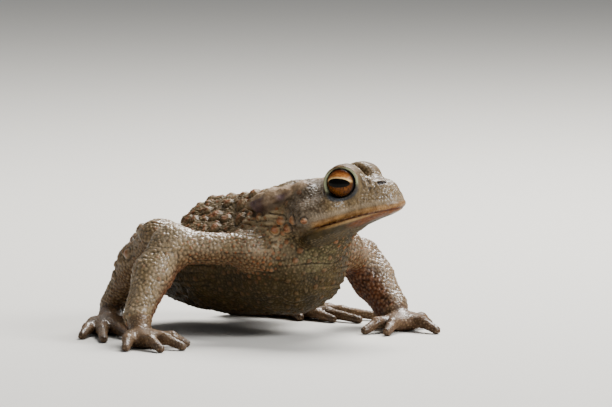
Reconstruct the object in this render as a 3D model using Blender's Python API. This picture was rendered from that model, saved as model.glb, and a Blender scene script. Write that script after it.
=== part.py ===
"""Common toad, sitting up on spread forelegs with its head raised and turned to its left.

The body is one smooth shape made of named masses, parted into its limbs by thin gaps.
Sizes are in millimetres until the last step, which writes metres. +X is forward, +Y is the
toad's left and +Z is up, with the floor at z = 0.
"""

import itertools

import bmesh
import bpy
import numpy as np

# Sizes that drive the animal
MM = 0.001
ORIGIN = (-11.16, -7.06)  # middle of the whole box on the floor, seen from the shoulders
GAP = 0.4  # clear space between two neighbouring pieces
STEP, FINE_STEP = 0.72, 0.5  # spacing of the lattice on which the shape is measured; finer for the head
HEAD_AT = (15.1, 5.5, 37.5)  # midway between the eyes
HEAD_YAW, HEAD_PITCH, HEAD_ROLL = 32.0, 17.0, 2.5
EYE_FRONT, EYE_OUT, EYE_UP = -0.3, 7.85, 0.4
EYE_R, EYE_GAP = 3.66, 0.28
MOUTH, THROAT = -8.3, -14.6  # heights of the mouth line and of the throat's end, from the eyes
WART_SEED = 11
FAR = 60.0

# Joints: shoulder, elbow, wrist, palm, then four finger tips on the floor
ARM = {
    "right": dict(
        shoulder=(0.0, -13.6, 21.4),
        elbow=(-12.3, -28.2, 22.4),
        wrist=(-9.3, -41.0, 7.0),
        palm=(-5.2, -43.2, 2.9),
        tips=((2.0, -35.6), (7.0, -40.8), (7.2, -47.6), (0.0, -52.2)),
    ),
    "left": dict(
        shoulder=(0.0, 13.8, 19.8),
        elbow=(-9.9, 28.5, 15.7),
        wrist=(1.2, 28.6, 5.3),
        palm=(5.4, 27.8, 2.9),
        tips=((8.0, 14.8), (13.8, 16.8), (18.0, 28.6), (5.4, 37.0)),
    ),
}
# Joints: hip, knee, heel, ball of the foot, then five toe tips on the floor
LEG = {
    "right": dict(
        hip=(-41.5, -7.0, 15.0),
        knee=(-23.8, -22.8, 23.0),
        heel=(-46.0, -19.5, 4.8),
        ball=(-36.5, -28.0, 3.0),
        tips=((-27.0, -27.6), (-22.5, -31.0), (-19.0, -36.0), (-18.2, -44.2), (-27.4, -43.4)),
    ),
    "left": dict(
        hip=(-41.5, 7.0, 15.0),
        knee=(-23.6, 22.8, 19.6),
        heel=(-45.5, 18.5, 4.8),
        ball=(-35.5, 25.4, 3.0),
        tips=((-25.5, 22.6), (-17.0, 25.8), (-12.0, 29.8), (-11.6, 38.0), (-22.5, 38.2)),
    ),
}

# Triangles allowed for each piece
BUDGET = dict(
    torso=3900, head=2500, lower_jaw=800, upper_arm=480, forearm=520, hand=1080, thigh=520, shank=520, foot=1320
)


def frame_of(yaw, pitch, roll=0.0):
    """Rows are the forward, left and up directions of something turned, raised and leant to its left."""
    y, p, r = np.radians([yaw, pitch, roll])
    ahead = np.array((np.cos(p) * np.cos(y), np.cos(p) * np.sin(y), np.sin(p)))
    left = np.array((-np.sin(y), np.cos(y), 0.0))
    up = np.cross(ahead, left)
    left, up = left * np.cos(r) - up * np.sin(r), up * np.cos(r) + left * np.sin(r)
    return np.array([ahead, left, up])


HEAD_AXES = frame_of(HEAD_YAW, HEAD_PITCH, HEAD_ROLL)


def on_head(ahead, left, up):
    """A point of the head, measured from midway between the eyes."""
    return np.array(HEAD_AT) + np.array([ahead, left, up]) @ HEAD_AXES


def blend(a, b, k):
    """Union of two shapes with a fillet of about k."""
    h = np.maximum(k - np.abs(a - b), 0.0) / k
    return np.minimum(a, b) - h * h * k * 0.25


def carve(a, b, k):
    """Shape a with shape b taken out of it, the edge softened by about k."""
    return -blend(-a, b, k)


def cone(p, a, b, ra, rb):
    """Distance to a rounded rod from a to b whose radius goes from ra to rb."""
    a, b = np.array(a, float), np.array(b, float)
    along = b - a
    t = np.clip((p - a) @ along / (along @ along), 0.0, 1.0)
    return np.linalg.norm(p - a - t[:, None] * along, axis=1) - (ra + (rb - ra) * t)


def ball(p, centre, radii, axes=None):
    """Distance to an ellipsoid, near enough for blending."""
    q = p - np.array(centre, float)
    if axes is not None:
        q = q @ axes.T
    r = np.array(radii, float)
    k0 = np.linalg.norm(q / r, axis=1)
    k1 = np.linalg.norm(q / (r * r), axis=1)
    return k0 * (k0 - 1.0) / np.maximum(k1, 1e-6)


def near(fn, lo, hi):
    """The measuring function fn, only worked out inside its own box and FAR away outside."""
    lo, hi = np.array(lo) - 9.0, np.array(hi) + 9.0

    def measured(p):
        inside = np.all((p > lo) & (p < hi), axis=1)
        out = np.full(len(p), FAR)
        if inside.any():
            out[inside] = fn(p[inside])
        return out

    return measured


def rod(a, b, ra, rb):
    r = max(ra, rb)
    pts = np.array([a, b], float)
    return near(lambda p: cone(p, a, b, ra, rb), pts.min(0) - r, pts.max(0) + r)


def lump(centre, radii, axes=None):
    c, r = np.array(centre, float), max(radii)
    return near(lambda p: ball(p, centre, radii, axes), c - r, c + r)


def drum(centre, axis, half, radius, rounding):
    """A short rounded cylinder about an axis."""
    c = np.array(centre, float)

    def measured(p):
        q = p - c
        along = q @ axis
        out = np.linalg.norm(q - along[:, None] * axis, axis=1) - radius + rounding
        over = np.abs(along) - half + rounding
        reach = np.sqrt(np.maximum(out, 0.0) ** 2 + np.maximum(over, 0.0) ** 2)
        return reach + np.minimum(np.maximum(out, over), 0.0) - rounding

    return near(measured, c - half - radius, c + half + radius)


def group(*parts):
    """One measuring function for a list of (fillet, function) pairs, joined in turn."""

    def measured(p):
        out = parts[0][1](p)
        for k, fn in parts[1:]:
            out = blend(out, fn(p), k)
        return out

    return measured


def head_section(p, stations, low, high, power):
    """Distance to a head part: stations give ahead, half width low and high, bottom and top."""
    q = (p - np.array(HEAD_AT)) @ HEAD_AXES.T
    a, side, up = q[:, 0], np.abs(q[:, 1]), q[:, 2]
    at = [s[0] for s in stations]
    wide_low, wide_high, bottom, top = (np.interp(a, at, [s[i] for s in stations]) for i in (1, 2, 3, 4))
    rise = np.clip((up - low) / (high - low), 0.0, 1.0)
    wide = np.maximum(wide_low + (wide_high - wide_low) * rise, 0.05)
    middle, half = (top + bottom) / 2, np.maximum((top - bottom) / 2, 0.05)
    ring = ((side / wide) ** power + (np.abs(up - middle) / half) ** power) ** (1.0 / power)
    body = (ring - 1.0) * np.minimum(wide, half)
    return np.maximum(body, np.maximum(a - at[-1], at[0] - a))


# Head: ahead, half width at the lip, half width at the brow, underside, top
UPPER = (
    (-18.0, 4.0, 3.5, -7.0, -2.0),
    (-15.0, 9.0, 6.5, -8.5, 0.6),
    (-12.0, 12.6, 8.0, -9.0, 1.8),
    (-6.0, 12.9, 7.2, -8.4, 2.1),
    (-1.0, 11.2, 5.8, -9.1, 1.5),
    (3.0, 9.2, 4.8, -9.2, 0.3),
    (6.0, 7.2, 4.1, -9.2, -0.8),
    (7.8, 5.6, 3.4, -9.0, -1.8),
    (9.1, 4.1, 2.6, -8.8, -3.2),
    (10.0, 2.6, 1.6, -8.7, -4.9),
    (10.5, 1.1, 0.7, -8.1, -6.1),
)
LOWER = (
    (-17.0, 4.0, 4.0, -11.5, -8.0),
    (-14.0, 8.5, 9.5, -12.8, -8.1),
    (-11.0, 10.8, 12.4, -13.0, -7.6),
    (-6.0, 10.8, 12.5, -12.1, -7.4),
    (-1.5, 9.2, 10.9, -10.6, -7.3),
    (3.0, 7.2, 8.8, -10.0, -7.3),
    (6.0, 5.2, 6.8, -9.8, -7.3),
    (7.4, 3.9, 5.4, -9.6, -7.4),
    (8.6, 2.4, 3.7, -9.4, -7.7),
    (9.5, 1.0, 2.1, -9.1, -7.9),
)


def mouth_at(ahead):
    """Height of the mouth line, which dips a little at the snout."""
    return MOUTH - 0.5 * np.clip((ahead - 3.0) / 6.0, 0.0, 1.0)


def head_fields():
    """Upper head, with eye mounds and snout, and the lower jaw."""
    lo, hi = np.array(HEAD_AT) - 24, np.array(HEAD_AT) + 24
    skull = near(lambda p: head_section(p, UPPER, MOUTH, 2.0, 2.6), lo, hi)
    parts = [(1.0, skull)]
    for side in (-1, 1):
        parts.append((2.0, drum(on_head(EYE_FRONT, side * 6.3, 0.2), side * HEAD_AXES[1], 2.9, 4.6, 1.4)))
        parts.append((2.0, rod(on_head(2.2, side * 5.0, -1.0), on_head(7.0, side * 2.5, -3.4), 1.9, 1.6)))
        parts.append((2.0, rod(on_head(-4.5, side * 9.8, -4.6), on_head(-10.0, side * 10.8, -5.2), 3.0, 3.2)))
    upper = group(*parts)
    jaw = near(lambda p: head_section(p, LOWER, -12.0, MOUTH, 2.2), lo, hi)
    return upper, jaw


def arm_fields(side):
    """Upper arm, forearm and hand of one side."""
    j = {k: np.array(v, float) for k, v in ARM[side].items() if k != "tips"}
    s = -1.0 if side == "right" else 1.0
    bow, thick, narrow = (1.2, 4.6, 3.4) if side == "right" else (0.0, 4.9, 4.0)
    belly_of = j["elbow"] * 0.6 + j["wrist"] * 0.4 + bow * np.array((-0.65, -0.75, 0.0))
    upper = group(
        (1.0, rod(j["shoulder"], j["elbow"], 3.4, 4.1)),
        (3.0, lump(j["shoulder"] + (0.6, s * 1.0, 0.0), (4.8, 4.4, 4.2))),
    )
    fore = group(
        (1.0, rod(j["elbow"], belly_of, 4.2, thick)),
        (2.0, rod(belly_of, j["wrist"], thick, narrow)),
    )
    toward = (j["palm"] - j["wrist"]) * (1, 1, 0)
    yaw = np.degrees(np.arctan2(toward[1], toward[0]))
    axes = frame_of(yaw, 0.0)
    hand = [
        (1.0, rod(j["wrist"], j["palm"], narrow - 0.4, 2.2)),
        (1.6, lump(j["palm"] + toward * 0.25 - (0, 0, 0.8), (5.0, 4.6, 2.22), axes)),
    ]
    for i, tip in enumerate(ARM[side]["tips"]):
        spread = (i - 1.5) * 1.9 * (1.0 if side == "right" else -1.0)
        base = j["palm"] + toward * 0.35 + np.array([0.0, -spread, -0.7]) @ axes
        end = np.array([tip[0], tip[1], 0.88])
        knee = base * 0.45 + end * 0.55 + (0.0, 0.0, 0.95)
        hand.append((1.2, rod(base, knee, 1.75, 1.3)))
        hand.append((0.8, rod(knee, end, 1.25, 1.0)))
    return upper, fore, group(*hand)


def leg_fields(side):
    """Thigh, shank and foot of one side, folded as the toad sits."""
    j = {k: np.array(v, float) for k, v in LEG[side].items() if k != "tips"}
    thigh_mid = j["hip"] * 0.5 + j["knee"] * 0.5 + (0.0, 0.0, 0.6)
    calf = j["knee"] * 0.58 + j["heel"] * 0.42 + (0.0, 0.0, 0.6)
    thigh = group(
        (1.0, rod(j["hip"], thigh_mid, 7.0, 6.3)),
        (3.0, rod(thigh_mid, j["knee"], 6.3, 4.7)),
    )
    shank = group(
        (1.0, rod(j["knee"] - (0.0, 0.0, 0.8), calf, 4.5, 4.7)),
        (3.0, rod(calf, j["heel"] + (0.5, 0.0, 0.6), 4.6, 2.9)),
    )
    toward = (j["ball"] - j["heel"]) * (1, 1, 0)
    yaw = np.degrees(np.arctan2(toward[1], toward[0]))
    axes = frame_of(yaw, 0.0)
    foot = [
        (1.0, rod(j["heel"] - (0.0, 0.0, 2.0), j["ball"] - (0.0, 0.0, 0.6), 2.9, 2.5)),
        (1.5, lump(j["ball"] + toward * 0.25 - (0, 0, 0.9), (6.0, 4.6, 2.2), axes)),
    ]
    for i, tip in enumerate(LEG[side]["tips"]):
        spread = (i - 2.0) * 1.7 * (1.0 if side == "right" else -1.0)
        base = j["ball"] + toward * 0.3 + np.array([0.0, -spread, -1.1]) @ axes
        end = np.array([tip[0], tip[1], 0.8])
        knee = base * 0.5 + end * 0.5 + (0.0, 0.0, 0.5)
        foot.append((1.4, rod(base, knee, 1.7, 1.25)))
        foot.append((0.9, rod(knee, end, 1.2, 0.92)))
    return thigh, shank, group(*foot)


def parotoid(side):
    """The long gland behind the eye, which widens and drops to the rear."""
    if side == "right":
        a, b, c = (8.6, -5.2, 35.8), (2.2, -8.6, 33.0), (-4.6, -10.6, 31.7)
    else:
        a, b, c = (3.0, 10.6, 35.4), (-4.8, 10.6, 33.7), (-12.2, 10.0, 32.9)
    ra, rb, rc = (1.6, 2.7, 2.0) if side == "right" else (2.2, 2.9, 2.2)
    return group((1.0, rod(a, b, ra, rb)), (1.5, rod(b, c, rb, rc)))


def torso_field():
    """Chest, belly, rump, neck and throat in one mass, with both parotoid glands."""
    return group(
        (1.0, lump((-2.5, 0.0, 18.8), (12.8, 14.8, 14.0))),
        (6.0, lump((-20.0, 0.0, 16.6), (19.0, 17.6, 13.0))),
        (5.0, lump((-35.0, 0.0, 14.2), (12.6, 12.2, 9.8))),
        (6.0, rod((0.0, 0.5, 30.3), (-28.0, 0.0, 25.4), 6.2, 4.9)),
        (5.0, lump((5.0, 0.8, 28.6), (9.5, 11.5, 7.8))),
        (3.0, lump((-28.3, -4.0, 24.6), (5.0, 4.6, 4.8))),
        (3.0, lump((-28.3, 4.0, 24.6), (5.0, 4.6, 4.8))),
        (5.0, rod((1.5, 0.5, 18.5), on_head(-9.0, 0.0, -8.5), 8.6, 5.0)),
        (1.0, parotoid("right")),
        (1.0, parotoid("left")),
    )


def pieces():
    """Every piece's own measuring function, in the order in which they are joined."""
    upper, jaw = head_fields()
    out = {"torso": torso_field(), "head": upper, "lower_jaw": jaw}
    for side in ("right", "left"):
        for name, fn in zip(("upper_arm", "forearm", "hand"), arm_fields(side)):
            out[f"{name}_{side}"] = fn
        for name, fn in zip(("thigh", "shank", "foot"), leg_fields(side)):
            out[f"{name}_{side}"] = fn
    return out


PIECES = pieces()


def eye_centre(side):
    return on_head(EYE_FRONT, side * EYE_OUT, EYE_UP)


def toad(p, warts=()):
    """Distance to the whole toad's skin, and to each piece on its own."""
    f = {name: fn(p) for name, fn in PIECES.items()}
    whole = blend(f["torso"], f["head"], 4.0)
    whole = blend(whole, f["lower_jaw"], 0.5)
    for side in ("right", "left"):
        arm = blend(f[f"upper_arm_{side}"], f[f"forearm_{side}"], 4.0)
        arm = blend(arm, f[f"hand_{side}"], 1.2)
        leg = blend(f[f"thigh_{side}"], f[f"shank_{side}"], 0.9)
        leg = blend(leg, f[f"foot_{side}"], 1.0)
        whole = blend(blend(whole, arm, 3.0), leg, 2.0)
    for at, r in warts:
        hit = np.all(np.abs(p - at) < r + 2.0, axis=1)
        if hit.any():
            bump = np.linalg.norm(p[hit] - at, axis=1) - r
            whole[hit] = blend(whole[hit], bump, 0.5)
    for side in (-1, 1):
        eye = np.linalg.norm(p - eye_centre(side), axis=1) - EYE_R
        whole = carve(whole, eye - EYE_GAP, 0.2)
        outward = side * HEAD_AXES[1]
        mouth_of_lids = cone(p, eye_centre(side) + 0.6 * outward, eye_centre(side) + 9.0 * outward, 3.7, 4.0)
        whole = carve(whole, mouth_of_lids, 0.3)
        slot = cone(p, on_head(7.5, side * 3.6, -1.7), on_head(6.2, side * 2.5, -3.0), 0.5, 0.4)
        whole = carve(whole, slot, 0.3)
    return np.maximum(whole, -p[:, 2]), f


def slope(p, fn, e=0.03):
    """Unit direction in which the distance grows, and the distance."""
    d = fn(p)
    g = np.stack([fn(p + e * np.eye(3)[i]) - fn(p - e * np.eye(3)[i]) for i in range(3)], axis=1)
    g /= 2 * e
    size = np.maximum(np.linalg.norm(g, axis=1), 0.2)
    return d, g, size


def settle(p, fn, turns=3):
    """Move points onto the surface of fn."""
    for _ in range(turns):
        d, g, size = slope(p, fn)
        move = np.clip(d / size, -0.5, 0.5)
        p = p - g / size[:, None] * move[:, None]
    return p


# Warts behind the corner of the mouth: ahead, out and up on the head, then radius
CHEEK_WARTS = (
    (-17.1, 9.4, -4.3, 1.1),
    (-13.2, 12.1, -5.1, 0.95),
    (-10.1, 13.9, -6.1, 0.75),
    (-19.3, 8.9, -5.9, 1.05),
    (-15.8, 9.9, -6.4, 1.0),
    (-17.5, 9.1, -7.2, 0.65),
    (-23.7, 5.4, -1.7, 0.85),
)


def wart_places():
    """Seeded warts over back, flanks, cheeks and limbs: centre on the skin and radius."""
    rng = np.random.default_rng(WART_SEED)
    start = [on_head(a, s * out, up) for s in (-1, 1) for a, out, up, _ in CHEEK_WARTS]
    size = [r for _, _, _, r in CHEEK_WARTS] * 2
    placed = len(start)
    for x in np.arange(-44.0, 6.0, 3.1):
        for turn in np.radians(np.arange(-112.0, 113.0, 13.5)):
            a = turn + rng.uniform(-0.09, 0.09)
            at = x + rng.uniform(-1.2, 1.2)
            start.append((at, 13.0 * np.sin(a), 20.0 + 9.0 * np.cos(a)))
            high = abs(np.degrees(a)) < 78
            size.append(rng.uniform(0.85, 1.5) if high else rng.uniform(0.6, 0.95))
    for side in ("right", "left"):
        s = -1.0 if side == "right" else 1.0
        for a, b, n in (("hip", "knee", 10), ("knee", "heel", 8)):
            a, b = np.array(LEG[side][a]), np.array(LEG[side][b])
            for t in np.linspace(0.25, 0.8, n):
                start.append(a + (b - a) * t + (rng.uniform(-2, 2), s * 3.0, rng.uniform(1, 4)))
                size.append(rng.uniform(0.8, 1.15))
    p = settle(np.array(start), lambda q: toad(q)[0], 14)
    d, g, length = slope(p, lambda q: toad(q)[0])
    normal = g / length[:, None]
    kept = []
    head_side = (p - np.array(HEAD_AT)) @ HEAD_AXES[0]
    for at, n, r, off, front in zip(p, normal, size, d, head_side):
        if abs(off) > 0.1 or front > -7.0:
            continue
        room = 0.9 if len(kept) < placed else 1.3
        if all(np.linalg.norm(at - other) > room * (r + r2) for other, r2 in kept):
            kept.append((at, r))
    return [(at - 0.52 * r * n, r) for (at, r), n in zip(kept, slope_of(kept))]


def slope_of(kept):
    _, g, length = slope(np.array([at for at, _ in kept]), lambda q: toad(q)[0])
    return g / length[:, None]


# Marching over tetrahedra: six to a cell of the lattice, so that every surface closes
TETS = []
for order in itertools.permutations((0, 1, 2)):
    i, j, _ = order
    odd = np.linalg.det(np.eye(3)[list(order)]) < 0
    TETS.append(((0, 1 << i, (1 << i) | (1 << j), 7), odd))
CORNER = np.array([[c & 1, (c >> 1) & 1, (c >> 2) & 1] for c in range(8)])
CASES = {1: ((0, 1), (0, 2), (0, 3)), 2: ((1, 0), (1, 3), (1, 2)), 4: ((2, 3), (2, 0), (2, 1)), 8: ((3, 2), (3, 1), (3, 0))}
PAIRS = {3: (0, 1, 2, 3), 5: (0, 2, 3, 1), 9: (0, 3, 1, 2), 6: (1, 2, 0, 3), 10: (1, 3, 2, 0), 12: (2, 3, 0, 1)}


def skin_of(values, lo, step):
    """Triangles of the surface where the lattice of values passes through zero."""
    values = np.where(np.abs(values) < 1e-4, 1e-4, values)
    nx, ny, nz = values.shape
    inside = values < 0
    cells = np.zeros((nx - 1, ny - 1, nz - 1), int)
    for dx, dy, dz in CORNER:
        cells += inside[dx : nx - 1 + dx, dy : ny - 1 + dy, dz : nz - 1 + dz]
    cell = np.argwhere((cells > 0) & (cells < 8))
    stride = np.array([ny * nz, nz, 1])
    corner_id = (cell @ stride)[:, None] + (CORNER @ stride)[None, :]
    flat = values.ravel()
    faces = []
    for tet, odd in TETS:
        ids = corner_id[:, tet]
        case = (flat[ids] < 0) @ np.array([1, 2, 4, 8])
        for code in range(1, 15):
            hit = ids[case == code]
            if not len(hit):
                continue
            few, flip = (code, odd) if code in CASES or code in PAIRS else (15 - code, not odd)
            if few in CASES:
                loops = [CASES[few]]
            else:
                a, b, c, d = PAIRS[few]
                loops = [((a, c), (a, d), (b, d)), ((a, c), (b, d), (b, c))]
            for loop in loops:
                tri = np.stack([hit[:, list(e)] for e in loop], axis=1)
                faces.append(tri[:, ::-1] if flip else tri)
    edges = np.sort(np.concatenate(faces).reshape(-1, 2), axis=1)
    key, back = np.unique(edges[:, 0] * np.int64(values.size) + edges[:, 1], return_inverse=True)
    a, b = key // values.size, key % values.size
    at_a = np.stack(np.unravel_index(a, values.shape), axis=1)
    at_b = np.stack(np.unravel_index(b, values.shape), axis=1)
    t = flat[a] / (flat[a] - flat[b])
    t = np.clip(t, 0.04, 0.96)
    return lo + (at_a + (at_b - at_a) * t[:, None]) * step, back.reshape(-1, 3)


def lattice(lo, hi, step):
    axes = [np.arange(a, b + step, step) for a, b in zip(lo, hi)]
    grid = np.stack(np.meshgrid(*axes, indexing="ij"), axis=-1)
    return grid.reshape(-1, 3), grid.shape[:3]


def neck(p):
    """Signed distance to the cut between head and torso, positive on the head's side."""
    return (p - on_head(-7.75, 0.0, 0.0)) @ (HEAD_AXES[0] * np.cos(0.46) - HEAD_AXES[2] * np.sin(0.46))


def parted(p, name, whole, f):
    """Shape of one piece: the whole skin, kept half a gap away from each neighbour."""
    cut = whole
    ahead, _, up = ((p - np.array(HEAD_AT)) @ HEAD_AXES.T).T
    beyond = np.minimum(neck(p), up - THROAT)
    for other in f:
        if other == name:
            continue
        pair = {name, other}
        if "torso" in pair and pair & {"head", "lower_jaw"}:
            edge = (beyond if name == "torso" else -beyond) + GAP / 2
        elif pair == {"head", "lower_jaw"}:
            edge = (up - mouth_at(ahead)) * (1 if name == "lower_jaw" else -1) + GAP / 2
        else:
            edge = (f[name] - f[other]) / 2 + GAP / 2
        cut = np.maximum(cut, edge)
    return cut


def largest(points, faces):
    """The biggest closed surface among those in a mesh."""
    label = np.arange(len(points))
    while True:
        low = label[faces].min(axis=1)
        new = label.copy()
        np.minimum.at(new, faces.ravel(), np.repeat(low, 3))
        new = new[new]
        if np.array_equal(new, label):
            break
        label = new
    main = np.bincount(label[faces[:, 0]]).argmax()
    faces = faces[label[faces[:, 0]] == main]
    used, back = np.unique(faces, return_inverse=True)
    return points[used], back.reshape(-1, 3)


def add_object(name, points, faces, material):
    mesh = bpy.data.meshes.new(name)
    mesh.from_pydata(points.tolist(), [], faces.tolist())
    mesh.validate()
    thing = bpy.data.objects.new(name, mesh)
    bpy.context.scene.collection.objects.link(thing)
    mesh.materials.append(material)
    mesh.shade_smooth()
    return thing


def paint(name, colour, roughness):
    material = bpy.data.materials.new(name)
    material.use_nodes = True
    shader = material.node_tree.nodes["Principled BSDF"]
    shader.inputs["Base Color"].default_value = (*colour, 1.0)
    shader.inputs["Roughness"].default_value = roughness
    return material


def thin_out(thing, count):
    """Bring a mesh down to about count triangles and set its feet flat on the floor."""
    now = len(thing.data.polygons)
    if now > count:
        change = thing.modifiers.new("thin_out", "DECIMATE")
        change.ratio = count / now
        change.use_collapse_triangulate = True
        done = thing.evaluated_get(bpy.context.evaluated_depsgraph_get())
        mesh = bpy.data.meshes.new_from_object(done)
        thing.modifiers.clear()
        thing.data = mesh
    mesh = thing.data
    co = np.empty(len(mesh.vertices) * 3)
    mesh.vertices.foreach_get("co", co)
    co = co.reshape(-1, 3)
    co[:, 2] = np.where(co[:, 2] < 0.07, 0.0, co[:, 2])
    co = (co - (ORIGIN[0], ORIGIN[1], 0.0)) * MM
    mesh.vertices.foreach_set("co", co.ravel())
    mesh.update()
    form = bmesh.new()
    form.from_mesh(mesh)
    bmesh.ops.dissolve_degenerate(form, dist=1e-7, edges=form.edges)
    bmesh.ops.triangulate(form, faces=form.faces)
    form.to_mesh(mesh)
    form.free()


for old in list(bpy.data.objects):
    bpy.data.objects.remove(old)

warts = wart_places()
probe, shape = lattice((-52.0, -56.0, -1.5), (30.0, 44.0, 45.0), 3.0)
reach = toad(probe)[1]
for name, own in reach.items():
    close = probe[own < (7.0 if name == "lower_jaw" else 3.4)]
    low, high = close.min(0) - 2.0, close.max(0) + 2.0
    step = FINE_STEP if name == "head" else STEP
    grid, shape = lattice(low, high, step)

    def piece(p, name=name):
        whole, f = toad(p, warts)
        return parted(p, name, whole, f)

    points, faces = skin_of(piece(grid).reshape(shape), low, step)
    points, faces = largest(points, faces)
    points = settle(points, piece, 1)
    kind = name.rsplit("_", 1)[0] if name.endswith(("_right", "_left")) else name
    tone = {"hand": (0.30, 0.20, 0.12), "foot": (0.30, 0.20, 0.12)}.get(kind, (0.28, 0.20, 0.12))
    made = add_object(name, points, faces, paint(f"skin_{name}", tone, 0.5))
    thin_out(made, BUDGET[kind])

for side, word in ((-1, "right"), (1, "left")):
    form = bmesh.new()
    bmesh.ops.create_uvsphere(form, u_segments=26, v_segments=14, radius=EYE_R)
    axis = HEAD_AXES[1] * side
    for vert in form.verts:
        x, y, z = vert.co
        at = eye_centre(side) - side * x * HEAD_AXES[0] + y * HEAD_AXES[2] + z * axis
        vert.co = (at - (ORIGIN[0], ORIGIN[1], 0.0)) * MM
    mesh = bpy.data.meshes.new(f"eye_{word}")
    form.to_mesh(mesh)
    form.free()
    eye = bpy.data.objects.new(f"eye_{word}", mesh)
    bpy.context.scene.collection.objects.link(eye)
    mesh.materials.append(paint(f"eye_{word}", (0.25, 0.08, 0.02), 0.1))
    mesh.shade_smooth()
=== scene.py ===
"""Common toad: a life-size still model, sitting up on spread forelegs, head turned to its left."""

import bmesh
import bpy
import numpy as np
from mathutils import Matrix, kdtree


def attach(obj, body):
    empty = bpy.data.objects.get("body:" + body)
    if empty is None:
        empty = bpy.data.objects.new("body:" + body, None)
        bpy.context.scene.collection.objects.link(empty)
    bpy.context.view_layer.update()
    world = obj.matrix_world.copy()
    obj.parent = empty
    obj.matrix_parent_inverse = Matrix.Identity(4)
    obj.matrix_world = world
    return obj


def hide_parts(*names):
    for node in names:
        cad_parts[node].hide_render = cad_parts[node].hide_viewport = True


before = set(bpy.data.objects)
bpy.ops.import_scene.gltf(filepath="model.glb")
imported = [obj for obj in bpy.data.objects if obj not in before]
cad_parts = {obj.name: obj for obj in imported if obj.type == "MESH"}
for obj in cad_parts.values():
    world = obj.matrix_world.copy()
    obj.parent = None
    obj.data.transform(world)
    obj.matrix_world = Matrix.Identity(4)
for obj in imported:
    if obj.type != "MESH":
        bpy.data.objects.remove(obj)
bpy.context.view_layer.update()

# Skin
# The skin is one cast piece over trunk, head and limbs, as on a museum model. Its form is a set of
# soft masses that run into each other, measured in millimetres from between the shoulders: +X is
# forward, +Y is the toad's left and the floor is z = 0.
MM = 0.001
ORIGIN = (-11.16, -7.06)  # where the middle of the frame lies
HEAD_AT = (15.1, 5.5, 37.5)  # midway between the eyes
HEAD_YAW, HEAD_PITCH, HEAD_ROLL = 32.0, 17.0, 2.5
EYE_FRONT, EYE_OUT, EYE_UP = -0.3, 7.85, 0.4
EYE_R = 3.66
MOUTH = -8.3  # height of the mouth line on the head
WART_SEED = 11
FAR, MARGIN = 60.0, 9.0
SKIN_STEP = 0.4

ARM = {
    "right": dict(
        shoulder=(0.0, -13.6, 21.4),
        elbow=(-12.3, -28.2, 22.4),
        wrist=(-9.3, -41.0, 7.0),
        palm=(-5.2, -43.2, 2.9),
        tips=((2.0, -35.6), (7.0, -40.8), (7.2, -47.6), (0.0, -52.2)),
    ),
    "left": dict(
        shoulder=(0.0, 13.8, 19.8),
        elbow=(-9.9, 28.5, 15.7),
        wrist=(1.2, 28.6, 5.3),
        palm=(5.4, 27.8, 2.9),
        tips=((8.0, 14.8), (13.8, 16.8), (18.0, 28.6), (5.4, 37.0)),
    ),
}
LEG = {
    "right": dict(
        hip=(-41.5, -7.0, 15.0),
        knee=(-23.8, -22.8, 23.0),
        heel=(-46.0, -19.5, 4.8),
        ball=(-36.5, -28.0, 3.0),
        tips=((-27.0, -27.6), (-22.5, -31.0), (-19.0, -36.0), (-18.2, -44.2), (-27.4, -43.4)),
    ),
    "left": dict(
        hip=(-41.5, 7.0, 15.0),
        knee=(-23.6, 22.8, 19.6),
        heel=(-45.5, 18.5, 4.8),
        ball=(-35.5, 25.4, 3.0),
        tips=((-25.5, 22.6), (-17.0, 25.8), (-12.0, 29.8), (-11.6, 38.0), (-22.5, 38.2)),
    ),
}


def frame_of(yaw, pitch, roll=0.0):
    """Rows: the forward, left and up directions of a thing turned, raised and leant left."""
    y, p, r = np.radians([yaw, pitch, roll])
    ahead = np.array((np.cos(p) * np.cos(y), np.cos(p) * np.sin(y), np.sin(p)))
    left = np.array((-np.sin(y), np.cos(y), 0.0))
    up = np.cross(ahead, left)
    left, up = left * np.cos(r) - up * np.sin(r), up * np.cos(r) + left * np.sin(r)
    return np.array([ahead, left, up])


HEAD_AXES = frame_of(HEAD_YAW, HEAD_PITCH, HEAD_ROLL)


def on_head(ahead, left, up):
    """A point of the head, measured from midway between the eyes."""
    return np.array(HEAD_AT) + np.array([ahead, left, up]) @ HEAD_AXES


def eye_centre(side):
    return on_head(EYE_FRONT, side * EYE_OUT, EYE_UP)


def blend(a, b, k):
    """Union of two shapes with a fillet of about k."""
    h = np.maximum(k - np.abs(a - b), 0.0) / k
    return np.minimum(a, b) - h * h * k * 0.25


def carve(a, b, k):
    """Shape a with shape b taken out of it, the edge softened by about k."""
    return -blend(-a, b, k)


def cone(p, a, b, ra, rb):
    """Distance to a rounded rod from a to b whose radius goes from ra to rb."""
    a, b = np.array(a, float), np.array(b, float)
    along = b - a
    t = np.clip((p - a) @ along / (along @ along), 0.0, 1.0)
    return np.linalg.norm(p - a - t[:, None] * along, axis=1) - (ra + (rb - ra) * t)


def ball(p, centre, radii, axes=None):
    """Distance to an ellipsoid, near enough for blending."""
    q = p - np.array(centre, float)
    if axes is not None:
        q = q @ axes.T
    r = np.array(radii, float)
    k0 = np.linalg.norm(q / r, axis=1)
    k1 = np.linalg.norm(q / (r * r), axis=1)
    return k0 * (k0 - 1.0) / np.maximum(k1, 1e-6)


def near(fn, lo, hi):
    """The measuring function fn, only worked out inside its own box and FAR away outside."""
    lo, hi = np.array(lo) - MARGIN, np.array(hi) + MARGIN

    def measured(p):
        out = np.full(len(p), FAR)
        if (p.max(0) < lo).any() or (p.min(0) > hi).any():
            return out
        inside = np.all((p > lo) & (p < hi), axis=1)
        if inside.any():
            out[inside] = fn(p[inside])
        return out

    return measured


def rod(a, b, ra, rb):
    r = max(ra, rb)
    pts = np.array([a, b], float)
    return near(lambda p: cone(p, a, b, ra, rb), pts.min(0) - r, pts.max(0) + r)


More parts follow.
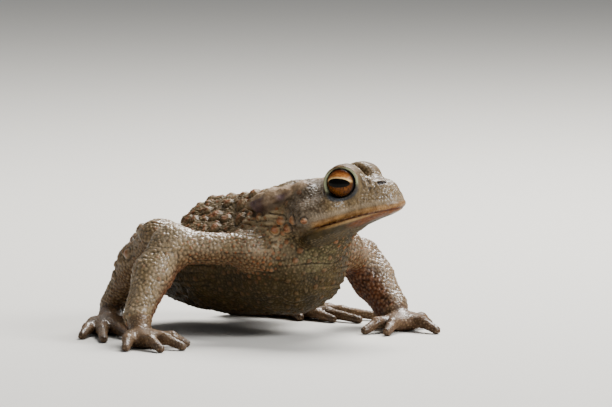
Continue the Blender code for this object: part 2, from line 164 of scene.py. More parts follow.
def lump(centre, radii, axes=None):
    c, r = np.array(centre, float), max(radii)
    return near(lambda p: ball(p, centre, radii, axes), c - r, c + r)


def drum(centre, axis, half, radius, rounding):
    """A short rounded cylinder about an axis."""
    c = np.array(centre, float)

    def measured(p):
        q = p - c
        along = q @ axis
        out = np.linalg.norm(q - along[:, None] * axis, axis=1) - radius + rounding
        over = np.abs(along) - half + rounding
        reach = np.sqrt(np.maximum(out, 0.0) ** 2 + np.maximum(over, 0.0) ** 2)
        return reach + np.minimum(np.maximum(out, over), 0.0) - rounding

    return near(measured, c - half - radius, c + half + radius)


def group(*parts):
    """One measuring function for a list of (fillet, function) pairs, joined in turn."""

    def measured(p):
        out = parts[0][1](p)
        for k, fn in parts[1:]:
            out = blend(out, fn(p), k)
        return out

    return measured


def head_section(p, stations, low, high, power):
    """Distance to a head part: stations give ahead, half width low and high, bottom and top."""
    q = (p - np.array(HEAD_AT)) @ HEAD_AXES.T
    a, side, up = q[:, 0], np.abs(q[:, 1]), q[:, 2]
    at = [s[0] for s in stations]
    wide_low, wide_high, bottom, top = (
        np.interp(a, at, [s[i] for s in stations]) for i in (1, 2, 3, 4)
    )
    rise = np.clip((up - low) / (high - low), 0.0, 1.0)
    wide = np.maximum(wide_low + (wide_high - wide_low) * rise, 0.05)
    middle, half = (top + bottom) / 2, np.maximum((top - bottom) / 2, 0.05)
    ring = ((side / wide) ** power + (np.abs(up - middle) / half) ** power) ** (1.0 / power)
    body = (ring - 1.0) * np.minimum(wide, half)
    return np.maximum(body, np.maximum(a - at[-1], at[0] - a))


# Head: ahead, half width at the lip, half width at the brow, underside, top
UPPER = (
    (-18.0, 4.0, 3.5, -7.0, -2.0),
    (-15.0, 9.0, 6.5, -8.5, 0.6),
    (-12.0, 12.6, 8.0, -9.0, 1.8),
    (-6.0, 12.9, 7.2, -8.4, 2.1),
    (-1.0, 11.2, 5.8, -9.1, 1.5),
    (3.0, 9.2, 4.8, -9.2, 0.3),
    (6.0, 7.2, 4.1, -9.2, -0.8),
    (7.8, 5.6, 3.4, -9.0, -1.8),
    (9.1, 4.1, 2.6, -8.8, -3.2),
    (10.0, 2.6, 1.6, -8.7, -4.9),
    (10.5, 1.1, 0.7, -8.1, -6.1),
)
LOWER = (
    (-17.0, 4.0, 4.0, -11.5, -8.0),
    (-14.0, 8.5, 9.5, -12.8, -8.1),
    (-11.0, 10.8, 12.4, -13.0, -7.6),
    (-6.0, 10.8, 12.5, -12.1, -7.4),
    (-1.5, 9.2, 10.9, -10.6, -7.3),
    (3.0, 7.2, 8.8, -10.0, -7.3),
    (6.0, 5.2, 6.8, -9.8, -7.3),
    (7.4, 3.9, 5.4, -9.6, -7.4),
    (8.6, 2.4, 3.7, -9.4, -7.7),
    (9.5, 1.0, 2.1, -9.1, -7.9),
)


def mouth_at(ahead):
    """Height of the mouth line, which dips a little at the snout."""
    return MOUTH - 0.5 * np.clip((ahead - 3.0) / 6.0, 0.0, 1.0)


HEAD_REACH = 24.0


def head_fields():
    """Upper head, with eye mounds, snout and jowls, and the lower jaw."""
    lo, hi = np.array(HEAD_AT) - HEAD_REACH, np.array(HEAD_AT) + HEAD_REACH
    parts = [(1.0, near(lambda p: head_section(p, UPPER, MOUTH, 2.0, 2.6), lo, hi))]
    for side in (-1, 1):
        mound = drum(on_head(EYE_FRONT, side * 6.3, 0.2), side * HEAD_AXES[1], 2.9, 4.6, 1.4)
        snout = rod(on_head(2.2, side * 5.0, -1.0), on_head(7.0, side * 2.5, -3.4), 1.9, 1.6)
        jowl = rod(on_head(-4.5, side * 9.8, -4.6), on_head(-10.0, side * 10.8, -5.2), 3.0, 3.2)
        parts += [(2.0, mound), (2.0, snout), (2.0, jowl)]
    jaw = near(lambda p: head_section(p, LOWER, -12.0, MOUTH, 2.2), lo, hi)
    return group(*parts), jaw


def arm_fields(side):
    """Upper arm, forearm and hand of one side."""
    j = {k: np.array(v, float) for k, v in ARM[side].items() if k != "tips"}
    s = -1.0 if side == "right" else 1.0
    bow, thick, narrow = (1.2, 4.6, 3.4) if side == "right" else (0.0, 4.9, 4.0)
    belly_of = j["elbow"] * 0.6 + j["wrist"] * 0.4 + bow * np.array((-0.65, -0.75, 0.0))
    upper = group(
        (1.0, rod(j["shoulder"], j["elbow"], 3.4, 4.1)),
        (3.0, lump(j["shoulder"] + (0.6, s * 1.0, 0.0), (4.8, 4.4, 4.2))),
    )
    fore = group(
        (1.0, rod(j["elbow"], belly_of, 4.2, thick)),
        (2.0, rod(belly_of, j["wrist"], thick, narrow)),
    )
    toward = (j["palm"] - j["wrist"]) * (1, 1, 0)
    yaw = np.degrees(np.arctan2(toward[1], toward[0]))
    axes = frame_of(yaw, 0.0)
    hand = [
        (1.0, rod(j["wrist"], j["palm"], narrow - 0.4, 2.2)),
        (1.6, lump(j["palm"] + toward * 0.25 - (0, 0, 0.8), (5.0, 4.6, 2.22), axes)),
    ]
    for i, tip in enumerate(ARM[side]["tips"]):
        spread = (i - 1.5) * 1.9 * (1.0 if side == "right" else -1.0)
        base = j["palm"] + toward * 0.35 + np.array([0.0, -spread, -0.7]) @ axes
        end = np.array([tip[0], tip[1], 0.88])
        knee = base * 0.45 + end * 0.55 + (0.0, 0.0, 0.95)
        hand.append((1.2, rod(base, knee, 1.75, 1.3)))
        hand.append((0.8, rod(knee, end, 1.25, 1.0)))
    return upper, fore, group(*hand)


def leg_fields(side):
    """Thigh, shank and foot of one side, folded as the toad sits."""
    j = {k: np.array(v, float) for k, v in LEG[side].items() if k != "tips"}
    thigh_mid = j["hip"] * 0.5 + j["knee"] * 0.5 + (0.0, 0.0, 0.6)
    calf = j["knee"] * 0.58 + j["heel"] * 0.42 + (0.0, 0.0, 0.6)
    thigh = group(
        (1.0, rod(j["hip"], thigh_mid, 7.0, 6.3)),
        (3.0, rod(thigh_mid, j["knee"], 6.3, 4.7)),
    )
    shank = group(
        (1.0, rod(j["knee"] - (0.0, 0.0, 0.8), calf, 4.5, 4.7)),
        (3.0, rod(calf, j["heel"] + (0.5, 0.0, 0.6), 4.6, 2.9)),
    )
    toward = (j["ball"] - j["heel"]) * (1, 1, 0)
    yaw = np.degrees(np.arctan2(toward[1], toward[0]))
    axes = frame_of(yaw, 0.0)
    foot = [
        (1.0, rod(j["heel"] - (0.0, 0.0, 2.0), j["ball"] - (0.0, 0.0, 0.6), 2.9, 2.5)),
        (1.5, lump(j["ball"] + toward * 0.25 - (0, 0, 0.9), (6.0, 4.6, 2.2), axes)),
    ]
    for i, tip in enumerate(LEG[side]["tips"]):
        spread = (i - 2.0) * 1.7 * (1.0 if side == "right" else -1.0)
        base = j["ball"] + toward * 0.3 + np.array([0.0, -spread, -1.1]) @ axes
        end = np.array([tip[0], tip[1], 0.8])
        knee = base * 0.5 + end * 0.5 + (0.0, 0.0, 0.5)
        foot.append((1.4, rod(base, knee, 1.7, 1.25)))
        foot.append((0.9, rod(knee, end, 1.2, 0.92)))
    return thigh, shank, group(*foot)


def parotoid_line(side):
    """Front, middle and rear of the long gland behind the eye."""
    if side == "right":
        return (8.6, -5.2, 35.8), (2.2, -8.6, 33.0), (-4.6, -10.6, 31.7)
    return (3.0, 10.6, 35.4), (-4.8, 10.6, 33.7), (-12.2, 10.0, 32.9)


def parotoid(side):
    """The gland as two rods end to end, a little thicker on the left."""
    a, b, c = parotoid_line(side)
    ra, rb, rc = (1.6, 2.7, 2.0) if side == "right" else (2.2, 2.9, 2.2)
    return group((1.0, rod(a, b, ra, rb)), (1.5, rod(b, c, rb, rc)))


def torso_field():
    """Chest, belly, rump, neck and throat in one mass, with both parotoid glands."""
    return group(
        (1.0, lump((-2.5, 0.0, 18.8), (12.8, 14.8, 14.0))),
        (6.0, lump((-20.0, 0.0, 16.6), (19.0, 17.6, 13.0))),
        (5.0, lump((-35.0, 0.0, 14.2), (12.6, 12.2, 9.8))),
        (6.0, rod((0.0, 0.5, 30.3), (-28.0, 0.0, 25.4), 6.2, 4.9)),
        (5.0, lump((5.0, 0.8, 28.6), (9.5, 11.5, 7.8))),
        (3.0, lump((-28.3, -4.0, 24.6), (5.0, 4.6, 4.8))),
        (3.0, lump((-28.3, 4.0, 24.6), (5.0, 4.6, 4.8))),
        (5.0, rod((1.5, 0.5, 18.5), on_head(-9.0, 0.0, -8.5), 8.6, 5.0)),
        (1.0, parotoid("right")),
        (1.0, parotoid("left")),
    )


def pieces():
    """Every piece's own measuring function, in the order in which they are joined."""
    upper, jaw = head_fields()
    out = {"torso": torso_field(), "head": upper, "lower_jaw": jaw}
    for side in ("right", "left"):
        for name, fn in zip(("upper_arm", "forearm", "hand"), arm_fields(side)):
            out[f"{name}_{side}"] = fn
        for name, fn in zip(("thigh", "shank", "foot"), leg_fields(side)):
            out[f"{name}_{side}"] = fn
    return out


PIECES = pieces()
NAMES = list(PIECES)


def masses(p):
    """Distance to the toad's plain form, before its eyes, mouth and warts, and to each piece."""
    f = {name: fn(p) for name, fn in PIECES.items()}
    whole = blend(f["torso"], f["head"], 4.0)
    whole = blend(whole, f["lower_jaw"], 0.5)
    for side in ("right", "left"):
        arm = blend(f[f"upper_arm_{side}"], f[f"forearm_{side}"], 4.0)
        arm = blend(arm, f[f"hand_{side}"], 1.2)
        leg = blend(f[f"thigh_{side}"], f[f"shank_{side}"], 0.9)
        leg = blend(leg, f[f"foot_{side}"], 1.0)
        whole = blend(blend(whole, arm, 3.0), leg, 2.0)
    return whole, f


# Lids: radius of their ring, how far it stands out from the eye's middle, and half its thickness
LID_RING, LID_OUT, LID_ROLL = 4.03, 0.95, 0.4
LID_DROOP = 1.1  # the opening is this many times wider than high
SOCKET = 0.05  # play between eye and socket
# Mouth: how deep its slit is, and where it ends behind
MOUTH_DEPTH, MOUTH_CORNER = 0.32, -8.8
# Nostril: the two ends of its slit, ahead, out and up on the head, and their radii
NOSTRIL = np.array(((7.3, 4.0, -2.0), (8.2, 2.8, -2.0)))
NOSTRIL_R = (0.56, 0.46)


def about_eye(p, side):
    """Points seen from an eye: how far ahead, out along its axis, over it, and off the axis."""
    ahead, out, rise = ((p - eye_centre(side)) @ HEAD_AXES.T).T
    return ahead, side * out, rise, np.hypot(ahead, LID_DROOP * rise)


def nostril_gap(p, side):
    """Distance of points from the slit of one nostril."""
    rear, front = (on_head(*end * (1, side, 1)) for end in NOSTRIL)
    return cone(p, rear, front, *NOSTRIL_R)


def form(p):
    """Distance to the skin with its eye sockets, lids, mouth line and nostrils."""
    whole, f = masses(p)
    q = (p - np.array(HEAD_AT)) @ HEAD_AXES.T
    face = np.minimum(f["head"], f["lower_jaw"])
    slit = np.maximum(np.abs(q[:, 2] - mouth_at(q[:, 0])) + 0.02, -MOUTH_DEPTH - face)
    slit = np.maximum(slit, MOUTH_CORNER - q[:, 0])
    whole = carve(whole, slit, 0.32)
    for side in (-1, 1):
        ahead, along, rise, radial = about_eye(p, side)
        seen = np.stack([ahead, along, LID_DROOP * rise], axis=1)
        whole = carve(whole, cone(seen, (0.0, 0.6, 0.0), (0.0, 9.0, 0.0), 3.9, 4.2), 0.3)
        lift = rise / 4.0
        ring = np.hypot(radial - LID_RING, along - LID_OUT - 0.15 * lift)
        whole = blend(whole, ring - LID_ROLL - 0.08 * lift, 0.5)
        eyeball = np.linalg.norm(p - eye_centre(side), axis=1) - EYE_R
        whole = carve(whole, eyeball - SOCKET, 0.12)
        whole = carve(whole, nostril_gap(p, side), 0.2)
    return np.maximum(whole, -p[:, 2])


def by_block(fn, p, size=7.0):
    """fn of many points, worked out block by block so that far masses are passed over."""
    x, y, z = np.floor(p / size).astype(np.int64).T + 64
    key = (x * 256 + y) * 256 + z
    order = np.argsort(key, kind="stable")
    out = None
    for part in np.split(order, np.flatnonzero(np.diff(key[order])) + 1):
        got = fn(p[part])
        if out is None:
            out = np.empty((len(p),) + got.shape[1:])
        out[part] = got
    return out


def settle(p, fn, turns=1, e=0.03, most=0.5):
    """Move points onto the surface of fn."""
    for _ in range(turns):
        d = by_block(fn, p)
        g = np.stack([by_block(fn, p + e * axis) - d for axis in np.eye(3)], axis=1) / e
        size = np.maximum(np.linalg.norm(g, axis=1), 0.2)
        p = p - g / size[:, None] * np.clip(d / size, -most, most)[:, None]
    return p


CORNER = np.array([[c & 1, (c >> 1) & 1, (c >> 2) & 1] for c in range(8)])


def net_of(fn, lo, hi, step, block=8):
    """Quads of the skin on a lattice, with one point in every cell that the skin crosses."""
    lo = np.array(lo, float)
    n = np.ceil((np.array(hi) - lo) / (step * block)).astype(int)
    middle = [lo[i] + (np.arange(n[i]) + 0.5) * step * block for i in range(3)]
    centre = np.stack(np.meshgrid(*middle, indexing="ij"), axis=-1).reshape(-1, 3)
    rough = by_block(fn, centre, 14.0).reshape(n)
    near_skin = np.abs(rough) < step * block * 0.87 + 1.5
    values, fine = rough, near_skin
    for axis in range(3):
        values, fine = values.repeat(block, axis), fine.repeat(block, axis)
    values[fine] = by_block(fn, lo + np.argwhere(fine) * step)
    inside = values < 0
    sx, sy, sz = values.shape
    count = np.zeros((sx - 1, sy - 1, sz - 1), np.int8)
    for dx, dy, dz in CORNER:
        count += inside[dx : sx - 1 + dx, dy : sy - 1 + dy, dz : sz - 1 + dz]
    cell = np.argwhere((count > 0) & (count < 8))
    number = np.full(count.shape, -1, np.int32)
    number[tuple(cell.T)] = np.arange(len(cell))
    at = values[tuple(np.moveaxis(cell[:, None] + CORNER[None], -1, 0))]
    total, hits = np.zeros((len(cell), 3)), np.zeros(len(cell))
    for a in range(8):
        for b in range(a + 1, 8):
            if np.abs(CORNER[a] - CORNER[b]).sum() == 1:
                cross = (at[:, a] < 0) != (at[:, b] < 0)
                t = at[cross, a] / (at[cross, a] - at[cross, b])
                total[cross] += CORNER[a] + t[:, None] * (CORNER[b] - CORNER[a])
                hits[cross] += 1
    points = lo + (cell + total / hits[:, None]) * step
    quads = []
    for axis in range(3):
        u, w = np.eye(3, dtype=int)[[(axis + 1) % 3, (axis + 2) % 3]]
        first = tuple(slice(0, -1) if i == axis else slice(1, -1) for i in range(3))
        second = tuple(slice(1, None) if i == axis else slice(1, -1) for i in range(3))
        q = np.argwhere(inside[first] != inside[second]) + u + w
        ring = np.stack([number[tuple((q - d).T)] for d in (0 * u, u, u + w, w)], axis=1)
        out = inside[tuple(q.T)]
        quads += [ring[out], ring[~out][:, ::-1]]
    return points, np.concatenate(quads)


def largest(points, faces):
    """The biggest closed surface among those in a mesh."""
    label = np.arange(len(points))
    while True:
        low = label[faces].min(axis=1)
        new = label.copy()
        np.minimum.at(new, faces.ravel(), np.repeat(low, faces.shape[1]))
        new = new[new]
        if np.array_equal(new, label):
            break
        label = new
    main = np.bincount(label[faces[:, 0]]).argmax()
    faces = faces[label[faces[:, 0]] == main]
    used, back = np.unique(faces, return_inverse=True)
    return points[used], back.reshape(faces.shape)


def add_thing(name, data):
    """A new object in the scene for a mesh, lamp or camera."""
    thing = bpy.data.objects.new(name, data)
    bpy.context.scene.collection.objects.link(thing)
    return thing


def add_piece(name, points, faces):
    """A new object with a smooth mesh of the given points and faces."""
    mesh = bpy.data.meshes.new(name)
    mesh.from_pydata(points.tolist(), [], faces.tolist())
    mesh.validate()
    mesh.shade_smooth()
    return add_thing(name, mesh)


def read(what, field):
    """One row of three numbers for each item of a mesh."""
    out = np.empty(len(what) * 3)
    what.foreach_get(field, out)
    return out.reshape(-1, 3)


# The skin's net, settled on the form, halved and settled once more
NET_LOW, NET_HIGH = (-52.0, -56.0, -1.2), (30.0, 44.0, 45.0)
rough_points, rough_faces = largest(*net_of(form, NET_LOW, NET_HIGH, SKIN_STEP))
rough_points = settle(rough_points, form)
skin = add_piece("toad_skin", rough_points, rough_faces)
halve = skin.modifiers.new("halve", "SUBSURF")
halve.subdivision_type = "SIMPLE"
halve.levels = 1
seen = skin.evaluated_get(bpy.context.evaluated_depsgraph_get())
finer = bpy.data.meshes.new_from_object(seen)
skin.modifiers.clear()
skin.data = finer
skin.data.shade_smooth()
points = settle(read(skin.data.vertices, "co"), form)
skin.data.vertices.foreach_set("co", points.ravel())
skin.data.update()
normal = read(skin.data.vertex_normals, "vector")
edges = np.empty(len(skin.data.edges) * 2, int)
skin.data.edges.foreach_get("vertices", edges)
edges = edges.reshape(-1, 2)
here, there = np.concatenate([edges, edges[:, ::-1]]).T
neighbours = np.bincount(here, minlength=len(points))
print("skin points", len(points), flush=True)

# Which mass each point belongs to, and where it lies on the head
share = by_block(lambda p: np.stack(list(masses(p)[1].values()), axis=1), points)
owner = np.array(NAMES)[share.argmin(axis=1)]
kind = np.char.replace(np.char.replace(owner, "_right", ""), "_left", "")
head = (points - np.array(HEAD_AT)) @ HEAD_AXES.T


def ramp(x, a, b):
    """0 where x is at a, 1 where it is at b, smooth between."""
    t = np.clip((x - a) / (b - a), 0.0, 1.0)
    return t * t * (3.0 - 2.0 * t)


def bell(x, half):
    """1 where x is 0, dying away over about half to either side."""
    return np.exp(-((x / half) ** 2))


def even(value, turns):
    """A value evened out over the neighbouring points of the skin."""
    for _ in range(turns):
        value = (value + np.bincount(here, value[there], len(points))) / (neighbours + 1)
    return value


def apart(place):
    """Distance of every point of the skin from one place."""
    return np.linalg.norm(points - place, axis=1)


def mist(p, size, seed):
    """Soft random values from 0 to 1, with lumps of about size."""
    side = 32
    table = np.random.default_rng(seed).random((side, side, side))
    q = p / size + 100.0
    cell = np.floor(q).astype(int)
    t = q - cell
    t = t * t * (3.0 - 2.0 * t)
    out = np.zeros(len(p))
    for corner in CORNER:
        weight = np.prod(np.where(corner, t, 1.0 - t), axis=1)
        out += weight * table[tuple(((cell + corner) % side).T)]
    return out


# Folds: the loose skin of neck, flank and belly is creased, and each gland stands over a groove.
# Their heights are given first for the trunk, then for the limbs, then for glands and neck.
SWELL, CREASE, LEVEL, FINE = 0.45, 0.2, 0.33, 0.07
LIMB_SWELL, LIMB_CREASE, LIMB_FINE = 0.24, 0.14, 0.6 * FINE
KNOB, GROOVE, END_DROP, RIDGE = 0.85, 0.45, 0.6, 0.85
is_trunk = kind == "torso"
is_limb = np.isin(kind, ("upper_arm", "forearm", "thigh", "shank"))
is_digit = np.isin(kind, ("hand", "foot"))
is_head = np.isin(kind, ("head", "lower_jaw"))
trunk, limb, face = (even(part.astype(float), 6) for part in (is_trunk, is_limb, is_head))
digit = even(is_digit.astype(float), 4)
warp = np.stack([mist(points, 5.0, 3 + i) for i in range(3)], axis=1) - 0.5
bent = points + 3.0 * warp


def lines(stretch, size, seed):
    """Winding lines over the skin: 1 on a line, 0 midway between two."""
    return 1.0 - np.abs(2.0 * mist(bent * stretch, size, seed) - 1.0)


crease = ramp(lines((0.6, 1.0, 0.8), 2.2, 7), 0.7, 1.0)
level = ramp(lines((0.28, 0.28, 1.5), 1.9, 8), 0.6, 1.0)
ridges = ramp(lines((0.4, 0.5, 1.5), 1.5, 13), 1.0, 0.2) - 0.5
swell = mist(points, 4.2, 9) - 0.5
fine = mist(points, 0.55, 10) - 0.5
knobs = mist(points, 1.7, 12) - 0.5
flank = ramp(points[:, 2], 18.0, 23.0)
neck = np.maximum(*(ramp(apart(on_head(-22.5, 8.0 * s, -3.0)), 10.0, 6.0) for s in (-1, 1)))
neck *= 1.0 - limb


def off_gland(p, side):
    """Distance of points from the gland's two rods."""
    a, b, c = parotoid_line(side)
    return np.minimum(cone(p, a, b, 1.6, 2.7), cone(p, b, c, 2.7, 2.0))


on_gland, gland_groove_shadow, gland_end = np.zeros((3, len(points)))
for side in ("right", "left"):
    a, b, c = parotoid_line(side)
    off = off_gland(points, side)
    on_gland = np.maximum(on_gland, ramp(off, 0.9, 0.4))
    gland_end = np.maximum(gland_end, ramp(apart(c), 3.6, 1.6))
    height = np.interp(points[:, 0], [c[0], b[0], a[0]], [c[2], b[2], a[2]])
    below = ramp(height - points[:, 2], 0.3, 1.6)
    # Under each gland runs a groove, which is also painted dark as its shadow.
    gland_groove_shadow = np.maximum(gland_groove_shadow, below * bell(off - 0.35, 0.45))
on_gland *= 1.0 - 0.8 * gland_end
smooth = 1.0 - 0.85 * on_gland
fold = SWELL * swell - CREASE * crease * flank * smooth - LEVEL * level * (1.0 - flank)
fold = trunk * (fold + FINE * fine)
fold += limb * (LIMB_SWELL * swell - LIMB_CREASE * (crease + level) + LIMB_FINE * fine)
fold += KNOB * knobs * on_gland - GROOVE * gland_groove_shadow - END_DROP * gland_end
fold += RIDGE * ridges * neck * trunk * (1.0 - on_gland)

# Warts: large ones where the solids have them, smaller ones and fine grains between them
# Warts behind the corner of the mouth: ahead, out and up on the head, then radius
CHEEK_WARTS = (
    (-17.1, 9.4, -4.3, 1.1),
    (-13.2, 12.1, -5.1, 0.95),
    (-10.1, 13.9, -6.1, 0.75),
    (-19.3, 8.9, -5.9, 1.05),
    (-15.8, 9.9, -6.4, 1.0),
    (-17.5, 9.1, -7.2, 0.65),
    (-23.7, 5.4, -1.7, 0.85),
)


def wart_places():
    """Seeded warts of back, flanks, cheeks and legs: centre, radius, whether it is on a cheek."""
    rng = np.random.default_rng(WART_SEED)
    start = [on_head(a, s * out, up) for s in (-1, 1) for a, out, up, _ in CHEEK_WARTS]
    size = [r for _, _, _, r in CHEEK_WARTS] * 2
    placed = len(start)
    for x in np.arange(-44.0, 6.0, 3.1):
        for turn in np.radians(np.arange(-112.0, 113.0, 13.5)):
            a = turn + rng.uniform(-0.09, 0.09)
            at = x + rng.uniform(-1.2, 1.2)
            start.append((at, 13.0 * np.sin(a), 20.0 + 9.0 * np.cos(a)))
            high = abs(np.degrees(a)) < 78
            size.append(rng.uniform(0.85, 1.5) if high else rng.uniform(0.6, 0.95))
    for side in ("right", "left"):
        s = -1.0 if side == "right" else 1.0
        for a, b, n in (("hip", "knee", 10), ("knee", "heel", 8)):
            a, b = np.array(LEG[side][a]), np.array(LEG[side][b])
            for t in np.linspace(0.25, 0.8, n):
                start.append(a + (b - a) * t + (rng.uniform(-2, 2), s * 3.0, rng.uniform(1, 4)))
                size.append(rng.uniform(0.8, 1.15))
    p = settle(np.array(start), lambda q: masses(q)[0], 14)
    off = masses(p)[0]
    ahead = (p - np.array(HEAD_AT)) @ HEAD_AXES[0]
    kept = []
    for i, (at, r, d, front) in enumerate(zip(p, size, off, ahead)):
        if abs(d) > 0.1 or front > -7.0:
            continue
        room = 0.9 if len(kept) < placed else 1.3
        if all(np.linalg.norm(at - other) > room * (r + r2) for other, r2, _ in kept):
            kept.append((at, r, i < placed))
    return kept


tree = kdtree.KDTree(len(points))
for i, at in enumerate(points.tolist()):
    tree.insert(at, i)
tree.balance()


def scatter(allowed, spacing, rng, taken=()):
    """Points of the skin in random order, none nearer to the one before it than its spacing."""
    free = allowed.copy()
    for at, r in taken:
        for _, j, _ in tree.find_range(at, r):
            free[j] = False
    chosen = []
    for i in rng.permutation(np.flatnonzero(allowed)):
        if free[i]:
            chosen.append(i)
            for _, j, _ in tree.find_range(points[i], spacing[i]):
                free[j] = False
    return np.array(chosen)


DITCH_DEPTH = 0.16  # of the dome's height, in the ring round its foot
wobble = np.stack([mist(points, 1.3, 21 + i) for i in range(3)], axis=1) - 0.5


def domes(centres, radii, heights, marks, squat=1.2, uneven=0.0):
    """Height of domes over the skin, how near each point is to a dome's top, and its mark."""
    lift, top, mark = np.zeros(len(points)), np.zeros(len(points)), np.zeros(len(points))
    ditch = np.zeros(len(points))
    uneven = np.broadcast_to(uneven, len(radii))
    for at, r, h, m, skew in zip(centres, radii, heights, marks, uneven):
        found = tree.find_range(at, r * (1.5 + skew))
        if not found:
            continue
        j = np.array([hit[1] for hit in found])
        t = np.array([hit[2] for hit in found]) / r
        if skew:
            first = wobble[tree.find(at)[1]]
            t = np.linalg.norm(points[j] - at + skew * (wobble[j] - first), axis=1) / r
        dome = np.maximum(1.0 - t * t, 0.0)
        up = h * dome**squat
        better = up > lift[j]
        k = j[better]
        lift[k], top[k], mark[k] = up[better], dome[better], m
        ditch[j] = np.maximum(ditch[j], DITCH_DEPTH * h * bell(t - 1.15, 0.2))
    return lift - ditch * (lift < 0.02), top, mark


FLAT_BELOW = 0.35  # skin this near to the floor bears no warts
rng = np.random.default_rng(WART_SEED + 1)
eye_gap = np.minimum(*(apart(eye_centre(s)) for s in (-1, 1)))
up_lip = head[:, 2] - mouth_at(head[:, 0])
by_lip = (np.abs(up_lip) < 2.2) & (head[:, 0] > -12.5)
bare = (points[:, 2] < FLAT_BELOW) | is_head & ((eye_gap < 5.3) | by_lip)
rear = ramp(points[:, 0], -37.0, -43.0)
low_side = ramp(points[:, 2], 24.0, 14.0) * trunk * (1.0 - 0.8 * rear)
back = trunk * ramp(points[:, 2], 23.0, 27.0)

# Large warts: how their radii grow on the cheek, from LARGE_FROM up and below it, and their height
CHEEK_GROWS, LARGE_GROWS, SMALL_GROWS, LARGE_FROM = 1.2, 1.28, 0.85, 1.06
CHEEK_HIGH, BIG_HIGH = 0.85, 0.48
big = wart_places()
big_at = [at for at, _, _ in big]
on_cheek = np.array([found for _, _, found in big])
big_r = np.array([r for _, r, _ in big])
big_grows = np.where(big_r > LARGE_FROM, LARGE_GROWS, SMALL_GROWS)
big_r *= np.where(on_cheek, CHEEK_GROWS, big_grows)
big_h = big_r * np.where(on_cheek, CHEEK_HIGH, BIG_HIGH)
big_mark = np.where(on_cheek, 1.0, rng.uniform(0.4, 0.9, len(big)))
big_hit = domes(big_at, big_r, big_h, big_mark, 0.75, np.where(on_cheek, 0.15, 0.6))

# Middle warts: smallest and largest radius, and height as a part of it; closer on breast and arms
MID_R, MID_HIGH = (0.45, 0.8), 0.5
breast = np.maximum(*(ramp(apart((3.5, s * 15.5, 20.8)), 10.0, 6.0) for s in (-1, 1)))
upper_arm = even((kind == "upper_arm").astype(float), 6)
dotted = np.maximum(breast, 0.9 * upper_arm)
spread = np.select([is_trunk, is_limb, is_head], [2.0, 1.9, 1.9], 9.0) - 0.7 * dotted
jowl = is_head & (np.abs(head[:, 0] + 9.0) < 3.0)
may = ~bare & ~is_digit & ~jowl & (points[:, 2] > 5.0) & (on_gland < 0.3)
mid = scatter(may, spread, rng, [(at, r + 0.3) for at, r in zip(big_at, big_r)])
mid_r = rng.uniform(*MID_R, len(mid)) * np.where(is_limb[mid] | is_head[mid], 0.72, 1.0)
mid_r *= 1.0 - 0.3 * dotted[mid]
mid_h = mid_r * (MID_HIGH - 0.1 * limb[mid] - 0.25 * face[mid] - 0.2 * back[mid])
mid_mark = rng.uniform(0.0, 1.0, len(mid)) ** 1.2 * (1.0 - 0.9 * face[mid])
mid_mark = np.maximum(
    mid_mark * (1.0 - 0.8 * low_side[mid] - 0.5 * limb[mid]), (0.5 + 0.5 * mid_mark) * dotted[mid]
)
mid_hit = domes(points[mid], mid_r, mid_h, mid_mark, 1.2, 0.2)

# Grain: the same for the finest bumps, which are lowest on gland, face and belly
GRAIN_R, GRAIN_HIGH = (0.26, 0.42), 0.42
grain_gap = np.select([is_digit, is_head, is_limb], [0.62, 0.7, 0.85], 0.74) - 0.1 * low_side
grain = scatter(~bare, grain_gap, rng, [(points[i], r * 0.8) for i, r in zip(mid, mid_r)])
grain_r = rng.uniform(*GRAIN_R, len(grain))
grain_r *= np.select([is_digit[grain], is_limb[grain]], [0.75, 1.35], 1.0)
flat = 0.16 * face + 0.1 * limb + 0.3 * on_gland + 0.16 * low_side
grain_h = grain_r * (GRAIN_HIGH - flat[grain])
grain_hit = domes(points[grain], grain_r, grain_h, rng.uniform(0.2, 1.0, len(grain)))
print("warts", len(big), len(mid), len(grain), flush=True)

lift = np.maximum(np.maximum(big_hit[0], mid_hit[0]), 0)
lift += np.minimum(big_hit[0], 0) + 0.8 * np.minimum(mid_hit[0], 0)
lift += grain_hit[0] * (1.0 - 0.4 * np.maximum(big_hit[1], mid_hit[1]))

# Rolled upper lip, ridge and groove over each eye, and the two short ridges before it, which are
# given by the lower and upper end of each, ahead, out and up on the head
CANTHUS = np.array((((4.8, 6.3, -1.9), (4.3, 6.3, 0.5)), ((5.7, 5.5, -1.9), (5.2, 4.2, -0.1))))
LIP_UP, LIP_HALF, LIP_HIGH = 0.95, 0.55, 0.26
lip_roll = face * ramp(head[:, 0], -12.0, -8.0) * bell(up_lip - LIP_UP, LIP_HALF) * LIP_HIGH
brow = np.zeros(len(points))
for side in (-1, 1):
    _, along, rise, radial = about_eye(points, side)
    over = ramp(along, -0.6, 0.4) * ramp(rise, -2.5, 0.0)
    brow += over * (0.2 * bell(radial - 5.4, 0.3) - 0.22 * bell(radial - 4.9, 0.22))
    for low, high in CANTHUS:
        low, high = on_head(*low * (1, side, 1)), on_head(*high * (1, side, 1))
        ridge = cone(points, low, high, 0.0, 0.0)
        brow += 0.3 * bell(ridge, 0.5) - 0.12 * bell(ridge - 1.0, 0.3)
move = (lift + fold) * (1.0 - 0.97 * even(bare.astype(float), 2)) + lip_roll + brow
shaped = points + normal * move[:, None]
shaped[:, 2] = np.maximum(shaped[:, 2], 0.0)
